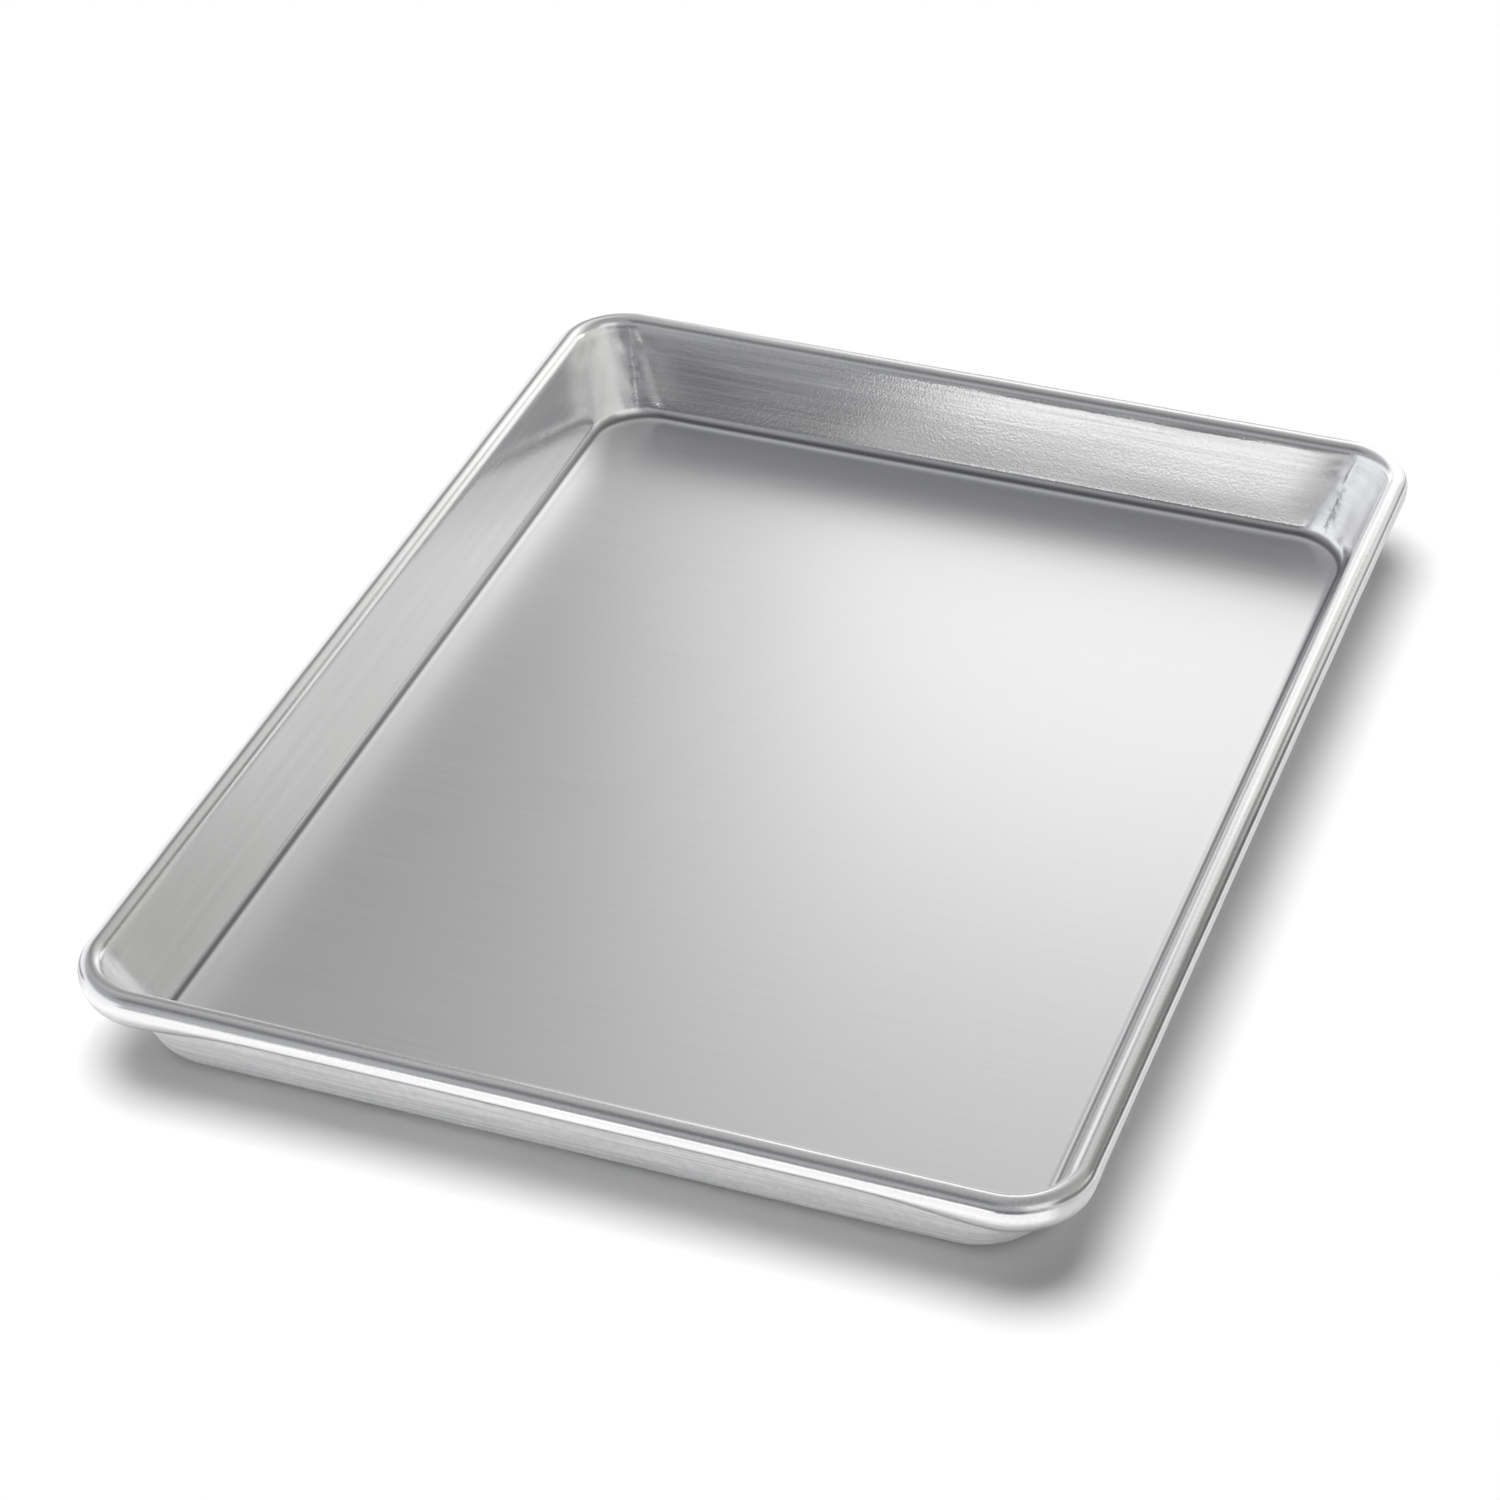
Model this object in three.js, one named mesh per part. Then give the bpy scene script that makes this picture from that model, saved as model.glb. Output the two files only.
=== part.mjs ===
// A quarter-size sheet pan: one drawn aluminium sheet whose edge is curled round a bent steel wire.
// Millimetres, +Z up, origin under the middle of the floor, X along the short side.
import * as THREE from "three";
import { mergeVertices } from "three/addons/utils/BufferGeometryUtils.js";

// Driving dimensions
const WIDTH = 241.3; // short side, over the rim
const LENGTH = 327; // long side, over the rim
const HEIGHT = 26.6; // from the table to the top of the rim
const SHEET = 1; // thickness of the aluminium
const BEAD_DIAMETER = 6.6; // over the curled rim
const WALL_FLARE_DEG = 17; // lean of the walls, outwards from upright
const FLOOR_FILLET = 4; // inside radius between floor and wall
const RIM_CORNER_RADIUS = 19.2; // outside of the rim, seen from above
const FLOOR_CORNER_RADIUS = 14; // edge of the flat floor, seen from above
const SEAM_GAP = 0.4; // between the edge of the curl and the wall behind it
const CORNER_SAG = 2.6; // how much lower the curl hangs round the corners
const SAG_RUNOUT = 25; // straight rim over which the curl rises again beside a corner
const WIRE_CLEARANCE = 0.3; // all round the wire inside the curl
const WIRE_BUTT_GAP = 1.5; // between the two ends of the wire

// How finely the round stretches are divided
const CORNER_STEPS = 8;
const FILLET_STEPS = 6;
const CURL_STEPS = 20;
const WIRE_SIDES = 12;

// The wall's section is drawn with two measures: inset, inwards from the rim's outer edge, and height.
// Its corner inset is the inset of the corner's centre, so the corner's radius is the difference.
const flare = THREE.MathUtils.degToRad(WALL_FLARE_DEG);
const beadRadius = BEAD_DIAMETER / 2;
const bead = { inset: beadRadius, height: HEIGHT - beadRadius };
const curlRadius = beadRadius - SHEET / 2;
const curlTurn = 2 * Math.PI - Math.acos((beadRadius - SHEET - SEAM_GAP) / beadRadius);
const wireRadius = beadRadius - SHEET - WIRE_CLEARANCE;

// The fillet's centre lies where the straight wall touches both the curl and the fillet.
const filletRadius = FLOOR_FILLET + SHEET / 2;
const filletHeight = SHEET + FLOOR_FILLET;
const wallDrop = bead.height - filletHeight;
const filletInset = bead.inset + (curlRadius + filletRadius + wallDrop * Math.sin(flare)) / Math.cos(flare);
const floorCornerInset = filletInset + FLOOR_CORNER_RADIUS;

/** The middle of the sheet's thickness from floor to curl's edge, with the direction of its upper face. */
function sheetMidline() {
  const stations = [];
  for (let step = 0; step <= FILLET_STEPS; step += 1) {
    const facing = THREE.MathUtils.lerp(Math.PI / 2, flare, step / FILLET_STEPS);
    stations.push({
      facing,
      inset: filletInset - filletRadius * Math.cos(facing),
      height: filletHeight - filletRadius * Math.sin(facing),
    });
  }
  for (let step = 0; step <= CURL_STEPS; step += 1) {
    const facing = flare + (curlTurn * step) / CURL_STEPS;
    stations.push({
      facing,
      inset: bead.inset + curlRadius * Math.cos(facing),
      height: bead.height + curlRadius * Math.sin(facing),
    });
  }
  return stations;
}

/** Both faces of the sheet as one line: up the inside, round the curl's edge and back down the outside. */
function sheetSection() {
  const stations = sheetMidline();
  const floorHeight = stations[0].height;
  const wallTop = stations[FILLET_STEPS + 1].height;
  const face = (side) =>
    stations.map((station, index) => {
      const inCurl = index > FILLET_STEPS;
      const climb = THREE.MathUtils.inverseLerp(floorHeight, wallTop, station.height);
      const belowBead = Math.max(0, bead.height - station.height) / curlRadius;
      return {
        inset: station.inset + side * (SHEET / 2) * Math.cos(station.facing),
        height: station.height + side * (SHEET / 2) * Math.sin(station.facing),
        cornerInset: THREE.MathUtils.lerp(floorCornerInset, RIM_CORNER_RADIUS, inCurl ? 1 : climb),
        sag: inCurl ? CORNER_SAG * belowBead : 0,
      };
    });
  return [...face(1), ...face(-1).reverse()];
}

/** Places round one corner: along the straight before it, round its quarter turn, and along the next. */
function cornerStations() {
  const quarter = Math.PI / 2;
  const stations = [{ turn: 0, along: -SAG_RUNOUT, sagShare: 0 }];
  for (let step = 0; step <= CORNER_STEPS; step += 1) {
    stations.push({ turn: (quarter * step) / CORNER_STEPS, along: 0, sagShare: 1 });
  }
  stations.push({ turn: quarter, along: SAG_RUNOUT, sagShare: 0 });
  return stations;
}

/** One point of the section carried round the four corners, anticlockwise from the +X side. */
function loop({ inset, height, cornerInset, sag }) {
  const radius = cornerInset - inset;
  const points = [];
  for (let corner = 0; corner < 4; corner += 1) {
    const towardsX = corner === 0 || corner === 3 ? 1 : -1;
    const towardsY = corner < 2 ? 1 : -1;
    for (const { turn, along, sagShare } of cornerStations()) {
      const angle = (corner * Math.PI) / 2 + turn;
      const outwards = new THREE.Vector3(Math.cos(angle), Math.sin(angle), 0);
      const onwards = new THREE.Vector3(-Math.sin(angle), Math.cos(angle), 0);
      const point = new THREE.Vector3(
        towardsX * (WIDTH / 2 - cornerInset),
        towardsY * (LENGTH / 2 - cornerInset),
        height - sag * sagShare,
      );
      points.push(point.addScaledVector(outwards, radius).addScaledVector(onwards, along));
    }
  }
  return points;
}

/** Triangles between two rows of points that run side by side, the second to the right of the first. */
function band(left, right) {
  const triangles = [];
  for (let i = 0; i + 1 < left.length; i += 1) {
    triangles.push(left[i], right[i], right[i + 1]);
    triangles.push(left[i], right[i + 1], left[i + 1]);
  }
  return triangles;
}

/** Triangles from the middle of a closed row of points to its edge. */
function fan(row) {
  const sum = row.reduce((total, point) => total.add(point), new THREE.Vector3());
  const middle = sum.divideScalar(row.length);
  return row.flatMap((point, i) => [middle, point, row[(i + 1) % row.length]]);
}

function solid(name, triangles, material) {
  const geometry = mergeVertices(new THREE.BufferGeometry().setFromPoints(triangles));
  geometry.computeVertexNormals();
  const mesh = new THREE.Mesh(geometry, material);
  mesh.name = name;
  return mesh;
}

function panBody() {
  const loops = sheetSection().map(loop);
  const rows = loops.map((row) => [...row, row[0]]);
  const triangles = [];
  for (let i = 0; i + 1 < rows.length; i += 1) {
    triangles.push(...band(rows[i], rows[i + 1]));
  }
  triangles.push(...fan(loops[0]));
  triangles.push(...fan(loops.at(-1).toReversed()));
  const aluminium = new THREE.MeshStandardMaterial({ color: 0xc8cacb, roughness: 0.35, metalness: 1 });
  return solid("pan_body", triangles, aluminium);
}

/** The wire lies in the curl, and its two ends face each other in the middle of the +X side. */
function rimWire() {
  const rows = [];
  for (let side = 0; side < WIRE_SIDES; side += 1) {
    const angle = (2 * Math.PI * side) / WIRE_SIDES;
    const inset = bead.inset + wireRadius * Math.cos(angle);
    const height = bead.height + wireRadius * Math.sin(angle);
    const x = WIDTH / 2 - inset;
    rows.push([
      new THREE.Vector3(x, WIRE_BUTT_GAP / 2, height),
      ...loop({ inset, height, cornerInset: RIM_CORNER_RADIUS, sag: 0 }),
      new THREE.Vector3(x, -WIRE_BUTT_GAP / 2, height),
    ]);
  }
  const triangles = rows.flatMap((row, i) => band(row, rows[(i + 1) % rows.length]));
  triangles.push(...fan(rows.map((row) => row[0]).toReversed()));
  triangles.push(...fan(rows.map((row) => row.at(-1))));
  const galvanisedSteel = new THREE.MeshStandardMaterial({ color: 0x9b9ea1, roughness: 0.5, metalness: 1 });
  return solid("rim_wire", triangles, galvanisedSteel);
}

const sheetPan = new THREE.Group();
sheetPan.add(panBody(), rimWire());

export default sheetPan;
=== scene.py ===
import math
from typing import NamedTuple

import bpy
import numpy as np
from mathutils import Matrix, Vector, noise


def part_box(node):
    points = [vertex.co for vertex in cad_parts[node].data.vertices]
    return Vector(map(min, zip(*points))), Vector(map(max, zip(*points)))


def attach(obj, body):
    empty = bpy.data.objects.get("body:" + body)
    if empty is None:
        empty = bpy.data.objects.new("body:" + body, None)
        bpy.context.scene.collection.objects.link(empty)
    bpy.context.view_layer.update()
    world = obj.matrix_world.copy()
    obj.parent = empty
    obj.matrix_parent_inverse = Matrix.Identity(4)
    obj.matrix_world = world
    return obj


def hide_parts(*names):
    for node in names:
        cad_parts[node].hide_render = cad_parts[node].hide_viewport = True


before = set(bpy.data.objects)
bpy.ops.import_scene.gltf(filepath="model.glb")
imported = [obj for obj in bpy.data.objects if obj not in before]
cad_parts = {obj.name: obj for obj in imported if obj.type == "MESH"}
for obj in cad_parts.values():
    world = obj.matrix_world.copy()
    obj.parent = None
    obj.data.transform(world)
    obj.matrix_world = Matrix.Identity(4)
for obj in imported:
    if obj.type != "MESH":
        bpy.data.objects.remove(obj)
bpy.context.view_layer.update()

# Sizes in metres. The overall sizes are the pan body's box in model.glb, and the rest are the sheet's own.
PAN_LOW, PAN_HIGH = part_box("pan_body")
WIDTH, LENGTH, HEIGHT = PAN_HIGH - PAN_LOW
SHEET = 0.001
BEAD_RADIUS = 0.0033
FLARE = math.radians(17.5)
FLOOR_FILLET = 0.004
RIM_CORNER = 0.0192
FLOOR_CORNER = 0.014
SEAM_GAP = 0.0004
EDGE_ROUND = 0.0003
CORNER_SAG = 0.0026
SAG_RUNOUT = 0.03
WIRE_CLEARANCE = 0.0003
WIRE_BUTT_GAP = 0.0015

# Marks that the drawing of the sheet leaves: depths, and lengths along and up the wall
WAVE_DEPTH = 0.00012
WAVE_LENGTH = 0.06
WAVE_HEIGHT = 0.03
PLEAT_DEPTH = 0.00006
PLEAT_LENGTH = 0.0035
PLEAT_HEIGHT = 0.006
PLEAT_REACH = (0.012, 0.02)
CREASE_DEPTH = 0.00019
CREASE_WIDTH = 0.0005
CREASE_WANDER = 0.0006
CREASE_BREAK = 0.005
CREASE_FOOT = 0.0055
CREASE_TOP = 0.0105
LONG_WALL_CREASE = 0.35
GALLED_WIDTH = 0.0026
LENS_DEPTH = 0.0002
LENS_WIDTH = 0.003
LENS_OFF_CREASE = 0.0045
LENS_CLIMB = 0.84
LENS_RISE = 0.08
BEAD_DENT = 0.00008
BEAD_DENT_LENGTH = 0.02

# Shares of the climb from floor to curl over which a mark comes in, and over which it goes out
WAVES_IN = (0.05, 0.35)
WAVES_OUT = (0.8, 1.0)
CREASE_IN = (0.12, 0.25)
CREASE_OUT = (0.93, 1.0)
GALLED_IN = (0.1, 0.25)
GALLED_OUT = (0.4, 0.95)

# Random values over which a crease and a dent of the bead come in, and the seeds of the random values
CREASE_UNBROKEN = (-0.5, 0.2)
BEAD_DENTED = (-0.6, 0.6)
WAVE_SEED = 3.0
PLEAT_SEED = 11.0
WANDER_SEED = 23.0
BREAK_SEED = 41.0
BEAD_SEED = 31.0

# Where the finish and the painted shade and reflection change: the turn down the outside of the bead,
# the share of a corner's arc from its middle, and how much more a wall faces along the pan than across it
DOWN_BEAD = (math.radians(125), math.radians(218))
SATIN_ARC = (0.45, 0.95)
SHORT_WALL = (-0.2, 0.2)

# How finely the sheet is divided along its section and round the pan
FILLET_STEPS = 14
WALL_STEPS = 34
CURL_STEPS = 36
CORNER_STEPS = 72
STRAIGHT_STEP = 0.005
FINE_STEP = 0.001
FINE_REACH = 0.01
FLOOR_RINGS = (0.001, 0.003, 0.01, 0.03, 0.06, 0.09)
WIRE_SIDES = 16

# The section is drawn by inset, inwards from the rim's outer edge, and height.
CURL_RADIUS = BEAD_RADIUS - SHEET / 2
CURL_TURN = 2 * math.pi - math.acos((BEAD_RADIUS - SHEET - SEAM_GAP) / BEAD_RADIUS)
BEAD_HEIGHT = HEIGHT - BEAD_RADIUS
FILLET_RADIUS = FLOOR_FILLET + SHEET / 2
FILLET_HEIGHT = SHEET + FLOOR_FILLET
WALL_DROP = BEAD_HEIGHT - FILLET_HEIGHT
FILLET_INSET = BEAD_RADIUS + (
    CURL_RADIUS + FILLET_RADIUS + WALL_DROP * math.sin(FLARE)
) / math.cos(FLARE)


def rise(value, low, high):
    """0 up to low, 1 from high on, and a smooth step between them."""
    share = np.clip((value - low) / (high - low), 0, 1)
    return share * share * (3 - 2 * share)


def between(value, comes_in, goes_out):
    """Rises over the first range and falls back to 0 over the second."""
    return rise(value, *comes_in) * (1 - rise(value, *goes_out))


def ridge(distance, width):
    """1 at distance 0, falling away on both sides."""
    return np.exp(-((distance / width) ** 2))


class Section:
    """Stations along the middle of the sheet, from the edge of the flat floor to the edge of the curl."""

    def __init__(self):
        fillet = np.linspace(math.pi / 2, FLARE, FILLET_STEPS + 1)
        fillet_inset = FILLET_INSET - FILLET_RADIUS * np.cos(fillet)
        fillet_height = FILLET_HEIGHT - FILLET_RADIUS * np.sin(fillet)
        curl = FLARE + CURL_TURN * np.linspace(0, 1, CURL_STEPS + 1)
        curl_inset = BEAD_RADIUS + CURL_RADIUS * np.cos(curl)
        curl_height = BEAD_HEIGHT + CURL_RADIUS * np.sin(curl)
        up_wall = np.linspace(0, 1, WALL_STEPS + 1)[1:-1]
        wall_inset = fillet_inset[-1] + (curl_inset[0] - fillet_inset[-1]) * up_wall
        wall_height = fillet_height[-1] + (curl_height[0] - fillet_height[-1]) * up_wall

        self.facing = np.concatenate([fillet, np.full(len(up_wall), FLARE), curl])
        self.inset = np.concatenate([fillet_inset, wall_inset, curl_inset])
        self.height = np.concatenate([fillet_height, wall_height, curl_height])
        self.in_curl = np.arange(len(self.facing)) >= FILLET_STEPS + WALL_STEPS
        climb = (self.height - self.height[0]) / (curl_height[0] - self.height[0])
        self.climb = np.where(self.in_curl, 1, climb)
        floor_corner_inset = FILLET_INSET + FLOOR_CORNER
        self.corner_inset = floor_corner_inset + (RIM_CORNER - floor_corner_inset) * self.climb
        below_bead = np.maximum(0, BEAD_HEIGHT - self.height) / CURL_RADIUS
        self.sag = np.where(self.in_curl, CORNER_SAG * below_bead, 0)
        self.down_bead = rise(self.facing, *DOWN_BEAD)
        steps = np.hypot(np.diff(self.inset), np.diff(self.height))
        self.distance = np.concatenate([[0], np.cumsum(steps)])


class Round:
    """Places round the pan, four arcs and four straights, anticlockwise from the +X +Y corner's start."""

    SIGNS = ((1, 1), (-1, 1), (-1, -1), (1, -1))

    def __init__(self):
        self.corner = []
        self.turn = []
        self.along = []
        self.distance = []
        walked = 0.0
        arc_length = RIM_CORNER * math.pi / 2
        for corner in range(4):
            for step in range(CORNER_STEPS + 1):
                self.place(corner, step / CORNER_STEPS, 0.0, walked + arc_length * step / CORNER_STEPS)
            walked += arc_length
            straight = (WIDTH if corner % 2 == 0 else LENGTH) - 2 * RIM_CORNER
            for stop in self.stops(straight):
                self.place(corner, 1.0, stop / straight, walked + stop)
            walked += straight
        self.corner = np.array(self.corner)
        self.turn = np.array(self.turn)
        self.along = np.array(self.along)
        self.distance = np.array(self.distance)
        self.length = walked
        angle = (self.corner + self.turn) * math.pi / 2
        self.outwards = np.stack([np.cos(angle), np.sin(angle)], axis=1)
        self.rim = self.points(0, 0, RIM_CORNER, 0)[:, :2]
        self.from_middle = self.nearest_middle()
        past_arc = (np.abs(self.from_middle) - arc_length / 2) / SAG_RUNOUT
        self.cornering = 1 - rise(past_arc, 0, 1)
        self.in_corner = 1 - rise(np.abs(self.from_middle) / arc_length, *SATIN_ARC)
        facing_along = np.abs(self.outwards[:, 1]) - np.abs(self.outwards[:, 0])
        self.short_wall = rise(facing_along, *SHORT_WALL)

    def place(self, corner, turn, along, distance):
        self.corner.append(corner)
        self.turn.append(turn)
        self.along.append(along)
        self.distance.append(distance)

    @staticmethod
    def stops(straight):
        """Distances along a straight, without its ends, closer together beside the corners."""
        fine = np.arange(FINE_STEP, FINE_REACH, FINE_STEP)
        steps = round((straight - 2 * FINE_REACH) / STRAIGHT_STEP)
        middle = np.linspace(FINE_REACH, straight - FINE_REACH, steps + 1)
        return np.concatenate([fine, middle, straight - fine[::-1]])

    def nearest_middle(self):
        """Signed distance round the rim from the middle of the nearest corner."""
        middles = self.distance[(self.along == 0) & (np.abs(self.turn - 0.5) < 1e-6)]
        gaps = self.distance[:, None] - middles[None, :]
        gaps = (gaps + self.length / 2) % self.length - self.length / 2
        nearest = np.argmin(np.abs(gaps), axis=1)
        return gaps[np.arange(len(gaps)), nearest]

    def points(self, inset, height, corner_inset, sag):
        """A point of the section carried round the pan. Inset and height may differ from place to place."""
        signs = np.array(self.SIGNS, float)
        centres = signs * (np.array([WIDTH, LENGTH]) / 2 - corner_inset)
        reach = np.reshape(corner_inset - inset, (-1, 1)) * self.outwards
        start = centres[self.corner]
        end = centres[(self.corner + 1) % 4]
        flat = start + (end - start) * self.along[:, None] + reach
        drop = sag * self.cornering if sag else 0
        return np.column_stack([flat, np.broadcast_to(height - drop, len(flat))])


def wave(around, up, length, height, seed):
    """Smooth random values from -1 to 1, one row for each distance up the section, the same for a seed."""
    rows = []
    for distance in up:
        lift = distance / height + seed
        rows.append([noise.noise(Vector((x / length, y / length, lift))) for x, y in around.rim])
    return np.array(rows)


class Marks:
    """What drawing leaves on the even sheet, one row for each station of the section.

    The dents are depths along the sheet's upper face, and the galling is a share from 0 to 1.
    """

    def __init__(self, section, around):
        up = section.distance
        climb = section.climb[:, None]
        in_curl = section.in_curl[:, None]
        from_middle = np.abs(around.from_middle)[None, :]
        on_wall = between(climb, WAVES_IN, WAVES_OUT)
        near_corner = 1 - rise(from_middle, *PLEAT_REACH)
        short_wall = around.short_wall[None, :]

        waves = WAVE_DEPTH * wave(around, up, WAVE_LENGTH, WAVE_HEIGHT, WAVE_SEED)
        pleats = PLEAT_DEPTH * wave(around, up, PLEAT_LENGTH, PLEAT_HEIGHT, PLEAT_SEED) * near_corner
        wander = CREASE_WANDER * wave(around, up, WAVE_LENGTH, CREASE_BREAK, WANDER_SEED)
        off_crease = from_middle - CREASE_FOOT - (CREASE_TOP - CREASE_FOOT) * climb - wander
        unbroken = rise(wave(around, up, WAVE_LENGTH, CREASE_BREAK, BREAK_SEED), *CREASE_UNBROKEN)
        crease_part = between(climb, CREASE_IN, CREASE_OUT)
        crease_share = LONG_WALL_CREASE + (1 - LONG_WALL_CREASE) * short_wall
        crease = CREASE_DEPTH * ridge(off_crease, CREASE_WIDTH) * unbroken * crease_part * crease_share
        beside_crease = np.abs(from_middle - CREASE_TOP) - LENS_OFF_CREASE
        lenses = LENS_DEPTH * ridge(beside_crease, LENS_WIDTH) * ridge(climb - LENS_CLIMB, LENS_RISE)
        dented = rise(wave(around, up, BEAD_DENT_LENGTH, BEAD_DENT_LENGTH, BEAD_SEED), *BEAD_DENTED)
        self.dents = np.where(in_curl, -BEAD_DENT * dented, (waves + pleats) * on_wall - crease - lenses)
        galled_part = between(climb, GALLED_IN, GALLED_OUT)
        self.galling = ridge(off_crease, GALLED_WIDTH) * galled_part * short_wall


class Row(NamedTuple):
    """Points round the pan at one distance along the sheet, and what the material reads of them."""

    points: np.ndarray
    distance: float
    zone: float
    outside: float
    galling: np.ndarray


def make_object(name, vertices, faces, materials):
    mesh = bpy.data.meshes.new(name)
    mesh.from_pydata(vertices.tolist(), [], faces)
    mesh.update()
    mesh.polygons.foreach_set("use_smooth", [True] * len(mesh.polygons))
    for material in materials:
        mesh.materials.append(material)
    made = bpy.data.objects.new(name, mesh)
    bpy.context.scene.collection.objects.link(made)
    return made


def sheet_rows(around):
    """Both faces of the sheet: out over the floor, up the inside, round the curl and back underneath."""
    section = Section()
    marks = Marks(section, around)
    plain = np.zeros(len(around.distance))
    rows = []

    def floor_row(ring, height, outside):
        shrink = 1 - ring / (WIDTH / 2 - FILLET_INSET)
        inset = FILLET_INSET + ring
        points = around.points(inset, height, inset + FLOOR_CORNER * shrink, 0)
        rows.append(Row(points, -ring, 0.0, outside, plain))

    def face_row(index, offset, outside, onwards=0.0):
        facing = section.facing[index]
        depth = offset + marks.dents[index]
        points = around.points(
            section.inset[index] + depth * math.cos(facing) - onwards * math.sin(facing),
            section.height[index] + depth * math.sin(facing) + onwards * math.cos(facing),
            section.corner_inset[index],
            section.sag[index],
        )
        zone = section.climb[index] + section.in_curl[index] + section.down_bead[index]
        rows.append(Row(points, section.distance[index] + onwards, zone, outside, marks.galling[index]))

    stations = range(len(section.facing))
    for ring in reversed(FLOOR_RINGS):
        floor_row(ring, SHEET, 0.0)
    for index in stations:
        face_row(index, SHEET / 2, 0.0)
    face_row(stations[-1], 0.0, 0.5, EDGE_ROUND)
    for index in reversed(stations[::2]):
        face_row(index, -SHEET / 2, 1.0)
    for ring in FLOOR_RINGS:
        floor_row(ring, 0.0, 1.0)
    return rows


def pan_sheet():
    around = Round()
    rows = sheet_rows(around)
    columns = len(around.distance)
    vertices = np.concatenate([row.points for row in rows])
    middle_top = len(vertices)
    middle_bottom = middle_top + 1
    vertices = np.concatenate([vertices, [[0, 0, SHEET], [0, 0, 0]]])
    faces = []
    uvs = []
    for index in range(len(rows) - 1):
        low = rows[index].distance
        high = rows[index + 1].distance
        for column in range(columns):
            after = (column + 1) % columns
            a = index * columns + column
            b = index * columns + after
            faces.append((a, a + columns, b + columns, b))
            here = around.distance[column]
            there = around.distance[after] if after else around.length
            uvs.extend([(here, low), (here, high), (there, high), (there, low)])
    last = (len(rows) - 1) * columns
    for column in range(columns):
        after = (column + 1) % columns
        faces.append((middle_top, column, after))
        faces.append((middle_bottom, last + after, last + column))
        uvs.extend([(0, 0)] * 6)

    made = make_object("pan_sheet", vertices, faces, [aluminium()])
    layer = made.data.uv_layers.new(name="sheet")
    layer.uv.foreach_set("vector", np.array(uvs, np.float32).ravel())
    add_values(made, "zone", np.repeat([row.zone for row in rows], columns), (0, 0))
    add_values(made, "outside", np.repeat([row.outside for row in rows], columns), (0, 1))
    add_values(made, "galling", np.concatenate([row.galling for row in rows]), (0, 0))
    add_values(made, "corner", np.tile(around.in_corner, len(rows)), (0, 0))
    add_values(made, "short_wall", np.tile(around.short_wall, len(rows)), (0, 0))
    return made


def add_values(made, name, values, middles):
    """Gives each point of the sheet a value that its material reads, the floor's two middle points last."""
    attribute = made.data.attributes.new(name, "FLOAT", "POINT")
    attribute.data.foreach_set("value", np.concatenate([values, middles]).astype(np.float32))


def rim_wire():
    """The wire in the curl, whose two ends meet in the middle of the +X side."""
    around = Round()
    radius = BEAD_RADIUS - SHEET - WIRE_CLEARANCE
    on_right = (around.corner == 3) & (around.along > 0)
    in_gap = on_right & (np.abs(around.rim[:, 1]) < WIRE_BUTT_GAP)
    first = np.flatnonzero(on_right & ~in_gap & (around.rim[:, 1] > 0))[0]
    order = np.roll(np.arange(len(around.distance)), -first)
    order = order[~in_gap[order]]
    rows = []
    for side in range(WIRE_SIDES):
        angle = 2 * math.pi * side / WIRE_SIDES
        inset = BEAD_RADIUS + radius * math.cos(angle)
        height = BEAD_HEIGHT + radius * math.sin(angle)
        x = WIDTH / 2 - inset
        ends = ((x, WIRE_BUTT_GAP / 2, height), (x, -WIRE_BUTT_GAP / 2, height))
        points = around.points(inset, height, RIM_CORNER, 0)[order]
        rows.append(np.concatenate([ends[:1], points, ends[1:]]))
    columns = len(order) + 2
    faces = []
    for row in range(WIRE_SIDES):
        below = (row + 1) % WIRE_SIDES
        for column in range(columns - 1):
            here = row * columns + column
            under = below * columns + column
            faces.append((here, under, under + 1, here + 1))
    starts = [row * columns for row in range(WIRE_SIDES)]
    faces.append(tuple(reversed(starts)))
    faces.append(tuple(start + columns - 1 for start in starts))
    return make_object("wire", np.concatenate(rows), faces, [galvanised_steel()])


class Texture(NamedTuple):
    """A noise: its features per metre along each axis, and its levels of detail."""

    per_metre: tuple
    detail: float


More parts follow.
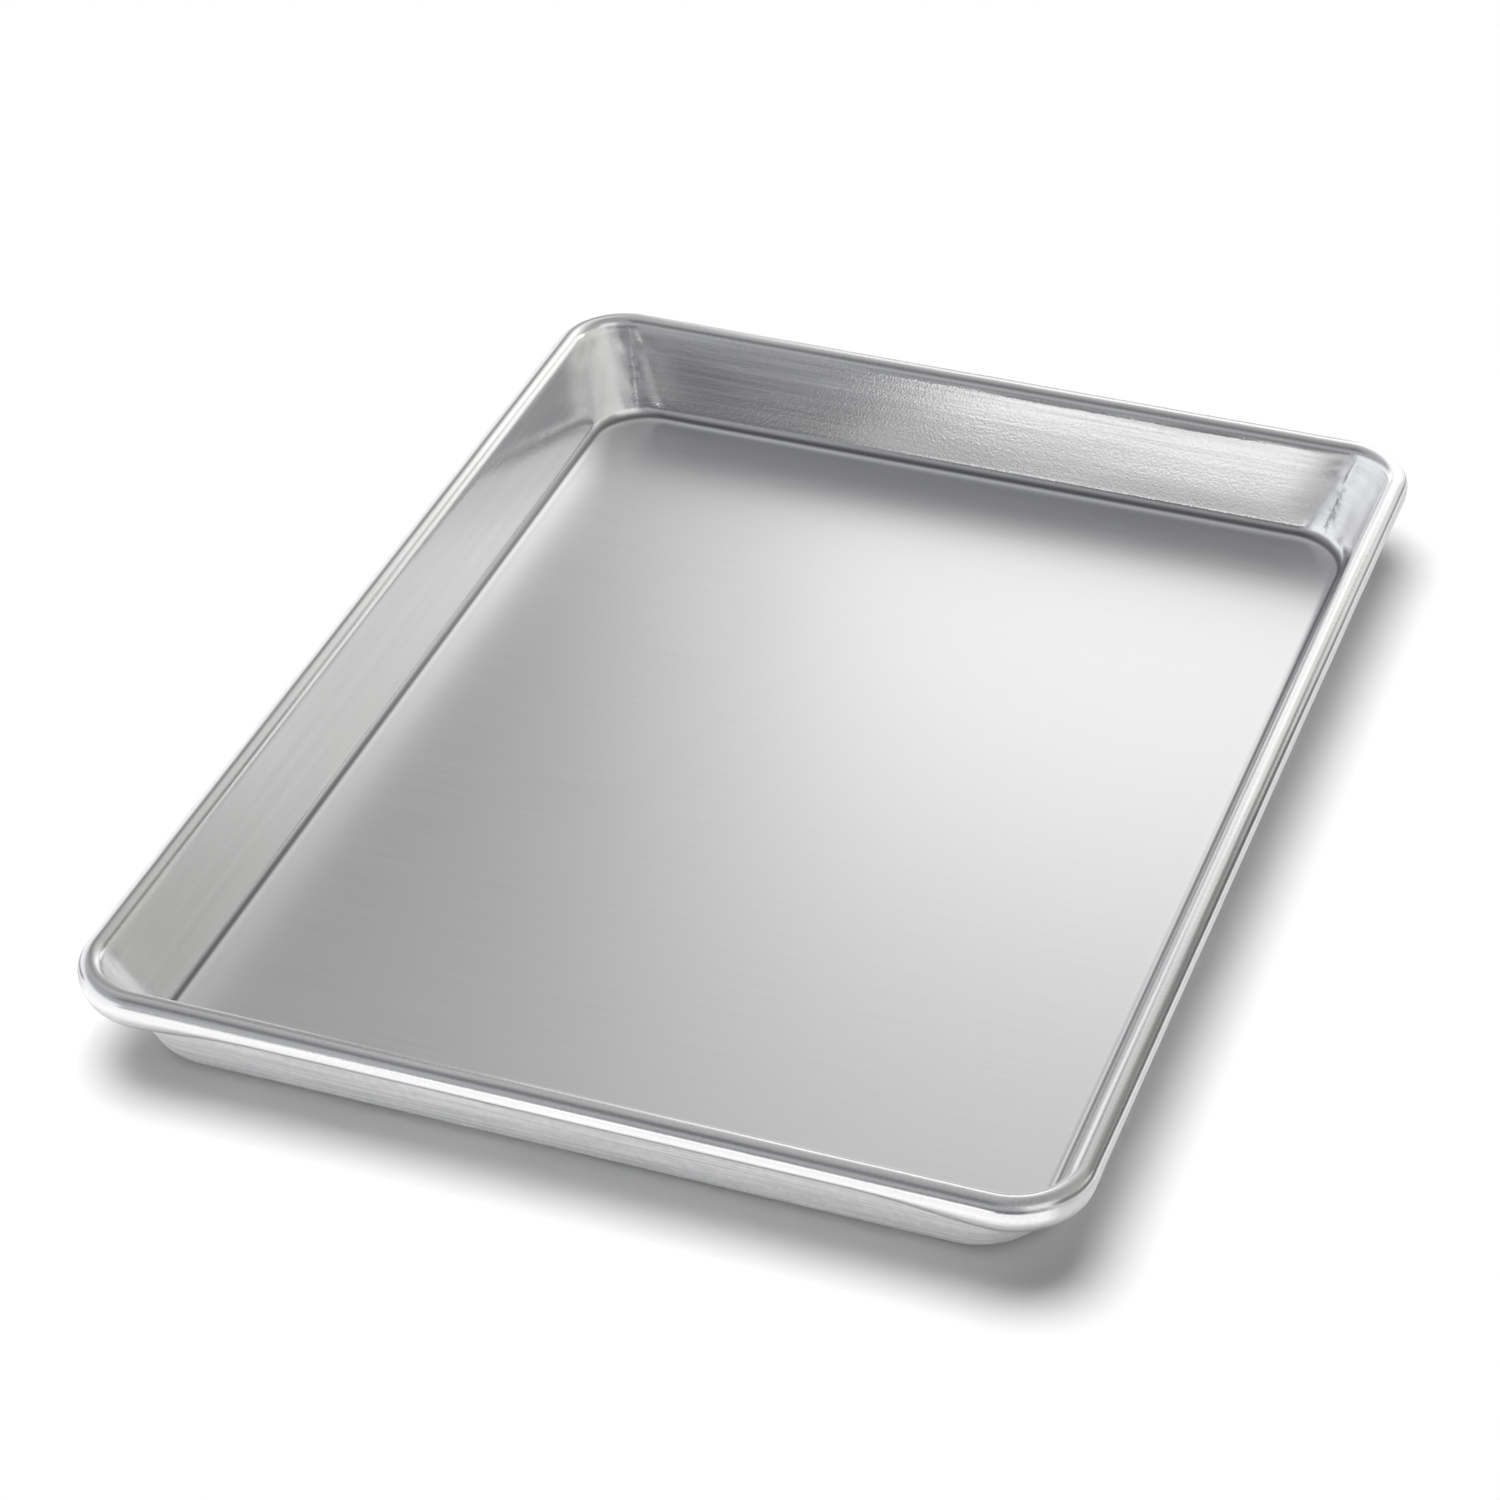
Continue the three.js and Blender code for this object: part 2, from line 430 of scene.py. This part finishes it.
class Nodes:
    """A short way to write a material's or the world's nodes."""

    def __init__(self, tree):
        self.tree = tree

    def add(self, kind, inputs=None, **settings):
        node = self.tree.nodes.new(kind)
        for key, value in settings.items():
            setattr(node, key, value)
        for key, value in (inputs or {}).items():
            self.join(value, node.inputs[key])
        return node

    def join(self, value, socket):
        if isinstance(value, bpy.types.NodeSocket):
            self.tree.links.new(value, socket)
        else:
            socket.default_value = value

    def math(self, operation, a, b=0.0, c=0.0):
        return self.add("ShaderNodeMath", {0: a, 1: b, 2: c}, operation=operation).outputs[0]

    def ramp(self, value, low, high, to_low=0.0, to_high=1.0, smooth=True):
        return self.add(
            "ShaderNodeMapRange",
            {"Value": value, "From Min": low, "From Max": high, "To Min": to_low, "To Max": to_high},
            interpolation_type="SMOOTHSTEP" if smooth else "LINEAR",
        ).outputs["Result"]

    def between(self, value, comes_in, goes_out):
        return self.math("MULTIPLY", self.ramp(value, *comes_in), self.ramp(value, *goes_out, 1.0, 0.0))

    def noise(self, vector, texture):
        mapping = self.add("ShaderNodeMapping", {"Vector": vector, "Scale": texture.per_metre})
        inputs = {"Vector": mapping.outputs["Vector"], "Scale": 1.0, "Detail": texture.detail}
        return self.add("ShaderNodeTexNoise", inputs).outputs["Fac"]

    def attribute(self, name):
        return self.add("ShaderNodeAttribute", attribute_name=name).outputs["Fac"]

    def mix(self, share, a, b):
        return self.add("ShaderNodeMix", {"Factor": share, "A": a, "B": b}).outputs["Result"]

    def mix_colour(self, share, a, b):
        node = self.add("ShaderNodeMix", data_type="RGBA")
        self.join(share, node.inputs["Factor"])
        self.join(a, node.inputs["A"])
        self.join(b, node.inputs["B"])
        return node.outputs["Result"]


def new_material(name):
    material = bpy.data.materials.new(name)
    material.use_nodes = True
    return material, Nodes(material.node_tree), material.node_tree.nodes["Principled BSDF"]


# Noises in the aluminium. The grain runs across the pan, and the lines, bands and streaks run round it.
GRAIN = Texture((30, 4500, 1), 3.0)
DRAW_LINES = Texture((22, 1100, 1), 4.0)
FINE_LINES = Texture((30, 2600, 1), 2.0)
BANDS = Texture((9, 420, 1), 3.0)
STREAKS = Texture((14, 60, 1), 2.0)
PEEL = Texture((1500, 1500, 1500), 2.0)
BLOTCHES = Texture((30, 30, 30), 4.0)
SPECKS = Texture((500, 500, 500), 4.0)

# Values of a noise, or of one noise and a share of a second, over which its effect comes in
GRAIN_SPREAD = (0.25, 0.75)
DRAW_LINE_SPREAD = (0.35, 0.7)
FINE_SPREAD = (0.3, 0.7)
PATCH_SPREAD = (0.42, 0.62)
GALLED_SPREAD = (0.45, 0.7)
SUM_SPREAD = (0.55, 0.85)
SECOND_NOISE = 0.4

# Where the finishes lie. Zone is 0 on the floor, 1 at the wall's top, 2 on the bead, 3 under its outside.
WALL_ZONE = (0.005, 0.05)
SATIN_ZONE = (0.12, 0.3)
RIM_ZONE = (1.0, 1.9)
# Painted shade: a dark line along the floor's fillet, at the foot of the wall
FILLET_SHADE_IN = (0.012, 0.035)
FILLET_SHADE_OUT = (0.035, 0.12)
# Painted dark reflection: a dark band on the upper outer side of the long sides' bead
DARK_REFLECTION_IN = (2.01, 2.06)
DARK_REFLECTION_OUT = (2.12, 2.2)
# Painted shade on the bead: under it on the short sides, and from partway down its outer side on the long
# sides, dimming what it reflects
LONG_SIDE_BEAD_SHADE = (2.15, 2.3)
SHORT_SIDE_BEAD_SHADE = (2.73, 3.0)
LONG_SIDE_STREAKS = 0.4

ROLLED_ROUGHNESS = (0.28, 0.33)
DRAWN_ROUGHNESS = (0.09, 0.16)
SATIN_ROUGHNESS = 0.28
# Roughness where the fillet's shade is painted
FILLET_SHADE_ROUGHNESS = 0.3
RIM_ROUGHNESS = (0.16, 0.24)
# Roughness where the bead's shade is painted
BEAD_SHADE_ROUGHNESS = 0.35
GALLED_ROUGHNESS = 0.35
OUTSIDE_ROUGHNESS = (0.7, 0.85)

ROLLED_DARK = (0.87, 0.872, 0.876, 1)
ROLLED_LIGHT = (0.92, 0.921, 0.923, 1)
DRAWN_DARK = (0.83, 0.831, 0.832, 1)
DRAWN_LIGHT = (0.95, 0.95, 0.949, 1)
UNSTREAKED = 0.6
STAINED = (0.9, 0.893, 0.882, 1)
STAIN_STRENGTH = 0.6
# Painted shade along the floor's fillet
FILLET_SHADE = (0.3, 0.3, 0.302, 1)
# Painted shade on the bead's outer side and underside
BEAD_SHADE = (0.6, 0.602, 0.606, 1)
# Painted dark reflection on the long sides' bead
DARK_REFLECTION = (0.32, 0.322, 0.326, 1)
GALLED = (0.45, 0.457, 0.47, 1)
OUTSIDE_DARK = (0.86, 0.861, 0.862, 1)
OUTSIDE_LIGHT = (0.97, 0.97, 0.969, 1)

# Depths of the fine relief in metres
GRAIN_DEPTH = 1.2e-6
WALL_PEEL_DEPTH = 2.1e-5
CORNER_PEEL_DEPTH = 2.7e-5
DRAW_LINE_DEPTH = (3e-6, 1.4e-5)
RIM_PEEL_DEPTH = 2.2e-5
RIM_LINE_DEPTH = 3e-6
GALLED_DEPTH = 4e-5
OUTSIDE_LINE_DEPTH = 5e-6


class Finish:
    """The noises of the sheet's finish, and the share that each kind of finish and of painted shade has at
    a point.
    """

    def __init__(self, nodes):
        place = nodes.add("ShaderNodeTexCoord").outputs["Object"]
        sheet = nodes.add("ShaderNodeUVMap", uv_map="sheet").outputs["UV"]
        self.grain = nodes.noise(place, GRAIN)
        self.draw_lines = nodes.noise(sheet, DRAW_LINES)
        self.fine_lines = nodes.noise(sheet, FINE_LINES)
        self.bands = nodes.noise(sheet, BANDS)
        self.peel = nodes.noise(place, PEEL)
        self.specks = nodes.noise(place, SPECKS)
        self.streaked = nodes.ramp(nodes.noise(sheet, STREAKS), *PATCH_SPREAD)
        self.stained = nodes.ramp(nodes.noise(place, BLOTCHES), *PATCH_SPREAD, 0.0, STAIN_STRENGTH)

        zone = nodes.attribute("zone")
        short_side = nodes.attribute("short_wall")
        long_side = nodes.ramp(short_side, 0, 1, 1.0, 0.0)
        self.outside = nodes.attribute("outside")
        self.corner = nodes.attribute("corner")
        self.wall = nodes.ramp(zone, *WALL_ZONE)
        self.rim = nodes.ramp(zone, *RIM_ZONE)
        self.satin = nodes.math("MULTIPLY", self.corner, nodes.ramp(zone, *SATIN_ZONE))
        # Share of the painted shade along the floor's fillet
        self.fillet_shade = nodes.between(zone, FILLET_SHADE_IN, FILLET_SHADE_OUT)
        # Share of the painted dark reflection on the long sides' bead
        self.dark_reflection = nodes.math("MULTIPLY", nodes.between(zone, DARK_REFLECTION_IN, DARK_REFLECTION_OUT), long_side)
        # Share of the painted shade on the bead's outer side and underside
        bead_shade_long_side = nodes.ramp(zone, *LONG_SIDE_BEAD_SHADE)
        self.dull_and_shaded_bead = nodes.mix(short_side, bead_shade_long_side, nodes.ramp(zone, *SHORT_SIDE_BEAD_SHADE))
        speckled = nodes.ramp(self.specks, *GALLED_SPREAD)
        self.galled = nodes.math("MULTIPLY", nodes.attribute("galling"), speckled)
        self.streak_strength = nodes.ramp(short_side, 0, 1, LONG_SIDE_STREAKS, 1.0)


def sheet_roughness(nodes, finish):
    drawn = nodes.ramp(finish.draw_lines, *DRAW_LINE_SPREAD, *DRAWN_ROUGHNESS)
    drawn = nodes.mix(finish.satin, drawn, SATIN_ROUGHNESS)
    rough = nodes.ramp(finish.grain, *GRAIN_SPREAD, *ROLLED_ROUGHNESS)
    rough = nodes.mix(finish.wall, rough, drawn)
    # Rougher where the fillet's shade is painted
    rough = nodes.mix(finish.fillet_shade, rough, FILLET_SHADE_ROUGHNESS)
    rough = nodes.mix(finish.rim, rough, nodes.ramp(finish.fine_lines, *FINE_SPREAD, *RIM_ROUGHNESS))
    # Rougher where the bead's shade is painted
    rough = nodes.mix(finish.dull_and_shaded_bead, rough, BEAD_SHADE_ROUGHNESS)
    rough = nodes.mix(finish.galled, rough, GALLED_ROUGHNESS)
    outside = nodes.ramp(finish.fine_lines, *FINE_SPREAD, *OUTSIDE_ROUGHNESS)
    return nodes.mix(finish.outside, rough, outside)


def sheet_colour(nodes, finish):
    rolled = nodes.mix_colour(nodes.ramp(finish.grain, *FINE_SPREAD), ROLLED_DARK, ROLLED_LIGHT)
    streaks = nodes.math("MULTIPLY_ADD", finish.peel, SECOND_NOISE, finish.bands)
    streaks = nodes.mix(finish.streak_strength, UNSTREAKED, nodes.ramp(streaks, *SUM_SPREAD))
    drawn = nodes.mix_colour(streaks, DRAWN_DARK, DRAWN_LIGHT)
    drawn = nodes.mix_colour(finish.stained, drawn, STAINED)
    colour = nodes.mix_colour(finish.wall, rolled, drawn)
    # Painted shade along the floor's fillet
    colour = nodes.mix_colour(finish.fillet_shade, colour, FILLET_SHADE)
    # Painted shade on the bead's outer side and underside
    colour = nodes.mix_colour(finish.dull_and_shaded_bead, colour, BEAD_SHADE)
    # Painted dark reflection on the long sides' bead
    colour = nodes.mix_colour(finish.dark_reflection, colour, DARK_REFLECTION)
    colour = nodes.mix_colour(finish.galled, colour, GALLED)
    wear = nodes.math("MULTIPLY_ADD", finish.specks, SECOND_NOISE, finish.draw_lines)
    worn = nodes.mix_colour(nodes.ramp(wear, *SUM_SPREAD), OUTSIDE_DARK, OUTSIDE_LIGHT)
    return nodes.mix_colour(finish.outside, colour, worn)


def sheet_relief(nodes, finish):
    rolled = nodes.math("MULTIPLY", finish.grain, GRAIN_DEPTH)
    peel_depth = nodes.ramp(finish.corner, 0, 1, WALL_PEEL_DEPTH, CORNER_PEEL_DEPTH)
    drawn = nodes.math("MULTIPLY", finish.peel, peel_depth)
    line_depth = nodes.ramp(finish.streaked, 0, 1, *DRAW_LINE_DEPTH, smooth=False)
    line_depth = nodes.math("MULTIPLY", line_depth, finish.streak_strength)
    drawn = nodes.math("MULTIPLY_ADD", finish.draw_lines, line_depth, drawn)
    rim = nodes.math("MULTIPLY", finish.fine_lines, RIM_LINE_DEPTH)
    rim = nodes.math("MULTIPLY_ADD", finish.peel, RIM_PEEL_DEPTH, rim)
    outside = nodes.math("MULTIPLY", finish.fine_lines, OUTSIDE_LINE_DEPTH)
    height = nodes.mix(finish.wall, rolled, drawn)
    height = nodes.mix(finish.rim, height, rim)
    height = nodes.math("MULTIPLY_ADD", finish.galled, GALLED_DEPTH, height)
    height = nodes.mix(finish.outside, height, outside)
    bump = nodes.add("ShaderNodeBump", {"Strength": 1.0, "Distance": 1.0, "Height": height})
    return bump.outputs["Normal"]


def aluminium():
    """Satin rolled floor, bright drawn walls and rim, a duller streaked outside, painted shade in the
    floor's fillet and under the bead, and a painted dark band on the long sides' bead.
    """
    material, nodes, shader = new_material("aluminium_sheet")
    finish = Finish(nodes)
    shader.inputs["Metallic"].default_value = 1.0
    nodes.join(sheet_roughness(nodes, finish), shader.inputs["Roughness"])
    nodes.join(sheet_colour(nodes, finish), shader.inputs["Base Color"])
    nodes.join(sheet_relief(nodes, finish), shader.inputs["Normal"])
    return material


SPANGLES_PER_METRE = 700
ZINC_DARK = (0.48, 0.5, 0.52, 1)
ZINC_LIGHT = (0.66, 0.67, 0.68, 1)
ZINC_ROUGHNESS = (0.3, 0.5)


def galvanised_steel():
    material, nodes, shader = new_material("galvanised_wire")
    shader.inputs["Metallic"].default_value = 1.0
    place = nodes.add("ShaderNodeTexCoord").outputs["Object"]
    spangles = nodes.add("ShaderNodeTexVoronoi", {"Vector": place, "Scale": SPANGLES_PER_METRE})
    shade = nodes.add("ShaderNodeSeparateColor", {"Color": spangles.outputs["Color"]}).outputs["Red"]
    nodes.join(nodes.mix_colour(shade, ZINC_DARK, ZINC_LIGHT), shader.inputs["Base Color"])
    nodes.join(nodes.ramp(shade, 0, 1, *ZINC_ROUGHNESS), shader.inputs["Roughness"])
    return material


# Studio: a white table under a grey dome, which is darker at its top and turns from cool at the front left
# to warm at the back right
TABLE_SIZE = 12.0
TABLE_DROP = 0.00005
TABLE_WHITE = 0.96
DOME_SIDES = 0.4
DOME_TOP = 0.34
DOME_TOP_HEIGHTS = (0.72, 1.0)
DOME_WARMTH = (-1.1, 1.3)
DOME_COOL = (0.985, 1.0, 1.05, 1)
DOME_WARM = (1.006, 1.0, 0.98, 1)


class Sun(NamedTuple):
    """A wide soft light from above for the table. The metal shows the panels and the dome instead."""

    name: str
    towards: tuple
    spread: float
    strength: float


SUNS = (
    Sun("overhead", (-0.18, 0.1, 1), math.radians(47), 3.08),
    Sun("front", (0, -1, 1), math.radians(60), 0.2),
    Sun("fill", (0, 0, 1), math.radians(150), 0.15),
)


class Panel(NamedTuple):
    """An upright panel that faces the pan from the back or the front and shows in the metal."""

    name: str
    place: tuple
    size: tuple
    radiance: float


PANELS = (
    Panel("back_wide", (0.0, 0.5, 0.3), (0.5, 0.4), 0.35),
    Panel("back_core", (-0.06, 0.49, 0.3), (0.22, 0.2), 0.43),
    Panel("back_top", (-0.03, 0.5, 0.6), (0.5, 0.2), 0.2),
    Panel("back_low", (0.24, 0.48, 0.13), (0.38, 0.26), 0.58),
    Panel("front_card", (-0.09, -0.7, 0.06), (0.32, 0.12), 0.86),
)


class DomeArea(NamedTuple):
    """A soft rectangle on the dome, in degrees: azimuth 0 is +Y, to the back, and positive to the right."""

    azimuth: float
    half_width: float
    elevation: float
    half_height: float
    softness: float
    change: float


DOME_AREAS = (
    DomeArea(-90, 52, 5, 12, 15, 0.55),
    DomeArea(82, 34, 18, 7, 8, 0.28),
    DomeArea(122, 18, 42, 10, 12, 0.42),
    DomeArea(-42, 25, 62, 10, 10, 0.1),
    DomeArea(-33, 4, 29, 8, 8, -0.16),
    DomeArea(29, 10, 18, 12, 10, -0.2),
    DomeArea(171, 22, 8, 12, 8, -0.21),
    DomeArea(-142, 28, 61, 8, 8, -0.17),
)


def table_top():
    half = TABLE_SIZE / 2
    low = -TABLE_DROP
    corners = np.array([(-half, -half, low), (half, -half, low), (half, half, low), (-half, half, low)])
    material, _, shader = new_material("table")
    shader.inputs["Base Color"].default_value = (TABLE_WHITE, TABLE_WHITE, TABLE_WHITE, 1)
    shader.inputs["Roughness"].default_value = 1.0
    shader.inputs["Specular IOR Level"].default_value = 0.0
    make_object("table_top", corners, [(0, 1, 2, 3)], [material])


def add_lamp(name, data, away):
    """Puts in a lamp that the camera doesn't see. Away points out of the lamp's back."""
    lamp = bpy.data.objects.new(name, data)
    lamp.rotation_mode = "QUATERNION"
    lamp.rotation_quaternion = Vector(away).to_track_quat("Z", "Y")
    lamp.visible_camera = False
    bpy.context.scene.collection.objects.link(lamp)
    return lamp


def studio_lamps():
    for panel in PANELS:
        data = bpy.data.lights.new(panel.name, "AREA")
        data.shape = "RECTANGLE"
        data.size, data.size_y = panel.size
        data.energy = panel.radiance * math.pi * panel.size[0] * panel.size[1]
        lamp = add_lamp(panel.name, data, (0, panel.place[1], 0))
        lamp.location = panel.place
        lamp.visible_diffuse = False

    for sun in SUNS:
        data = bpy.data.lights.new(sun.name, "SUN")
        data.angle = sun.spread
        data.energy = sun.strength
        add_lamp(sun.name, data, sun.towards).visible_glossy = False


def studio_dome():
    world = bpy.data.worlds.new("studio_dome")
    world.use_nodes = True
    bpy.context.scene.world = world
    world.cycles_visibility.diffuse = False
    nodes = Nodes(world.node_tree)
    towards = nodes.add("ShaderNodeTexCoord").outputs["Generated"]
    x, y, z = nodes.add("ShaderNodeSeparateXYZ", {"Vector": towards}).outputs
    azimuth = nodes.math("DEGREES", nodes.math("ARCTAN2", x, y))
    elevation = nodes.math("DEGREES", nodes.math("ARCSINE", z))

    light = nodes.ramp(z, *DOME_TOP_HEIGHTS, DOME_SIDES, DOME_TOP)
    for area in DOME_AREAS:
        sideways = nodes.math("WRAP", nodes.math("SUBTRACT", azimuth, area.azimuth), 180, -180)
        upwards = nodes.math("SUBTRACT", elevation, area.elevation)
        across = nodes.math("ABSOLUTE", sideways)
        along = nodes.math("ABSOLUTE", upwards)
        width_share = nodes.ramp(across, area.half_width, area.half_width + area.softness, 1.0, 0.0)
        height_share = nodes.ramp(along, area.half_height, area.half_height + area.softness, 1.0, 0.0)
        share = nodes.math("MULTIPLY", width_share, height_share)
        light = nodes.math("MULTIPLY_ADD", share, area.change, light)
    warmth = nodes.ramp(nodes.math("ADD", x, y), *DOME_WARMTH)
    background = world.node_tree.nodes["Background"]
    nodes.join(nodes.mix_colour(warmth, DOME_COOL, DOME_WARM), background.inputs["Color"])
    nodes.join(light, background.inputs["Strength"])


def photo_camera():
    """The camera that the photo was taken with, found from the rim's outline."""
    image_size = 1500
    focal_pixels = 4364.084
    azimuth = math.radians(20.34)
    elevation = math.radians(35.763)
    roll = math.radians(-0.56)
    aim = Vector((0, 0, 0.012))
    aim_pixel = (792.624, 742.044)
    distance = 1.083188

    back = Vector(
        (
            math.sin(azimuth) * math.cos(elevation),
            -math.cos(azimuth) * math.cos(elevation),
            math.sin(elevation),
        )
    )
    level = Vector((0, 0, 1)).cross(back).normalized()
    upright = back.cross(level)
    right = math.cos(roll) * level + math.sin(roll) * upright
    up = math.cos(roll) * upright - math.sin(roll) * level
    off_right = (aim_pixel[0] - image_size / 2) / focal_pixels * distance
    off_down = (aim_pixel[1] - image_size / 2) / focal_pixels * distance
    place = aim + distance * back - off_right * right + off_down * up

    data = bpy.data.cameras.new("photo_camera")
    data.sensor_width = 36
    data.lens = focal_pixels / image_size * data.sensor_width
    camera = bpy.data.objects.new("photo_camera", data)
    camera.matrix_world = Matrix.Translation(place) @ Matrix((right, up, back)).transposed().to_4x4()
    bpy.context.scene.collection.objects.link(camera)
    bpy.context.scene.camera = camera


photo_camera()
table_top()
studio_lamps()
studio_dome()
bpy.context.scene.view_settings.view_transform = "Standard"

pan = pan_sheet()
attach(pan, "root")
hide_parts("pan_body")

wire = rim_wire()
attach(wire, "root")
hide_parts("rim_wire")
